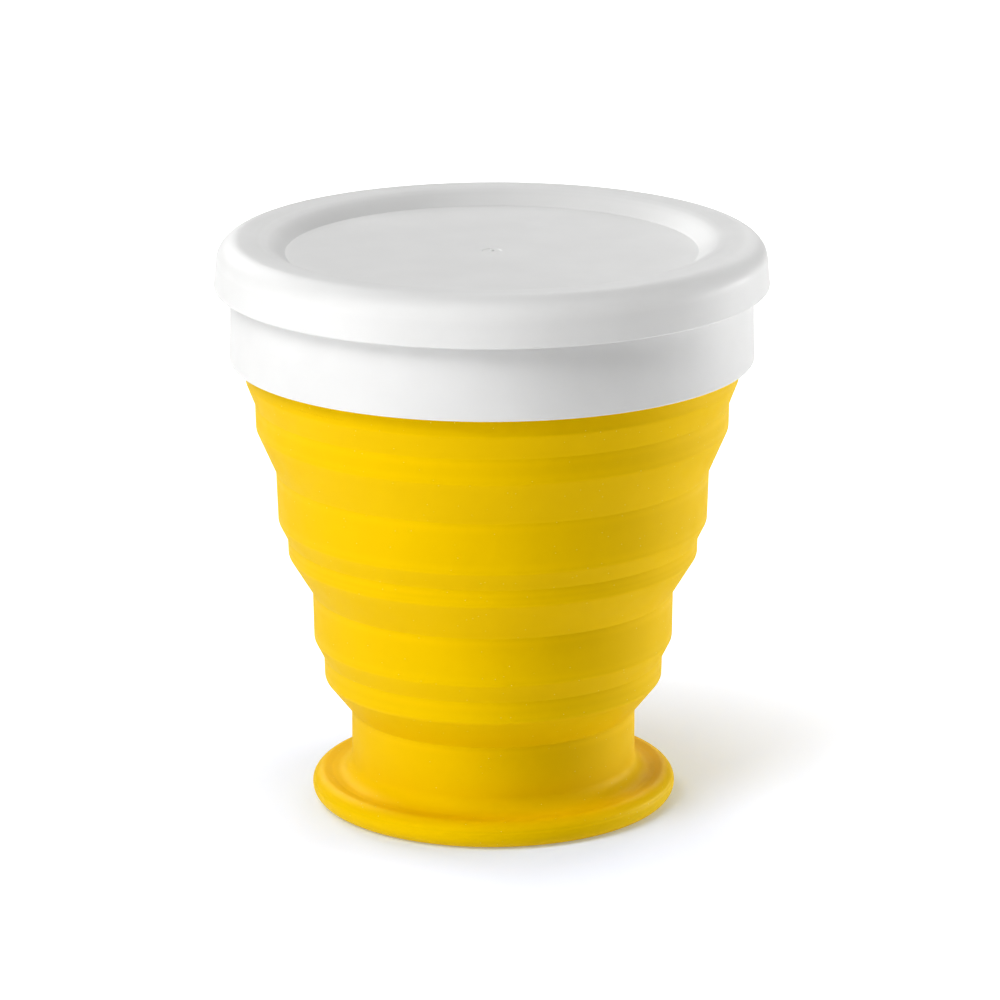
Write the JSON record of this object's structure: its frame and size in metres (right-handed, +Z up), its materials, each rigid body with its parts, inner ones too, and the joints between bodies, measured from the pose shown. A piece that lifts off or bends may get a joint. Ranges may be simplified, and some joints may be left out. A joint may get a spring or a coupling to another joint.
{
  "type": "collapsible travel cup",
  "caption": "Round cup with a stepped silicone wall that folds flat ring into ring, a rigid rim, a round foot and a press-on lid.",
  "frame": {"origin": "centre of the foot's underside, on the surface that the cup stands on", "axes": "+Z up along the cup's axis, towards the lid; the cup is round, so +X and +Y are any two level directions"},
  "size_m": [0.09, 0.09, 0.0945],
  "materials": {
    "silicone": "matt moulded silicone, deep yellow",
    "plastic": "satin white polypropylene",
    "seal": "translucent white silicone"
  },
  "bodies": {
    "base": {"silicone_base": "silicone", "silicone_web_1": "silicone"},
    "ring_1": {"silicone_band_1": "silicone", "silicone_web_2": "silicone"},
    "ring_2": {"silicone_band_2": "silicone", "silicone_web_3": "silicone"},
    "ring_3": {"silicone_band_3": "silicone", "silicone_web_4": "silicone"},
    "ring_4": {"silicone_band_4": "silicone", "silicone_web_5": "silicone"},
    "ring_5": {"silicone_band_5": "silicone", "silicone_web_6": "silicone"},
    "rim": {"silicone_top_band": "silicone", "rim_collar": "plastic", "rim_clamp_ring": "plastic"},
    "lid": {"lid_shell": "plastic", "lid_seal_ring": "seal"}
  },
  "joints": [
    {"name": "lower_fold", "type": "slide", "parent": "base", "child": "ring_1", "axis": [0, 0, -1], "range_m": [0, 0.011], "deforming": ["silicone_web_1"]},
    {"name": "lower_fold_step", "type": "slide", "parent": "ring_1", "child": "ring_2", "axis": [0, 0, -1], "range_m": [0, 0.0064], "deforming": ["silicone_web_2"]},
    {"name": "middle_fold", "type": "slide", "parent": "ring_2", "child": "ring_3", "axis": [0, 0, -1], "range_m": [0, 0.0128], "deforming": ["silicone_web_3"]},
    {"name": "middle_fold_step", "type": "slide", "parent": "ring_3", "child": "ring_4", "axis": [0, 0, -1], "range_m": [0, 0.006], "deforming": ["silicone_web_4"]},
    {"name": "upper_fold", "type": "slide", "parent": "ring_4", "child": "ring_5", "axis": [0, 0, -1], "range_m": [0, 0.0144], "deforming": ["silicone_web_5"]},
    {"name": "upper_fold_step", "type": "slide", "parent": "ring_5", "child": "rim", "axis": [0, 0, -1], "range_m": [0, 0.0078], "deforming": ["silicone_web_6"]},
    {"name": "lid_lift", "type": "slide", "parent": "rim", "child": "lid", "axis": [0, 0, 1], "range_m": [0, 0.04]}
  ],
  "couplings": [
    {"joint": "lower_fold_step", "follows": "lower_fold", "ratio": 0.5818},
    {"joint": "middle_fold_step", "follows": "middle_fold", "ratio": 0.46875},
    {"joint": "upper_fold_step", "follows": "upper_fold", "ratio": 0.5416}
  ]
}
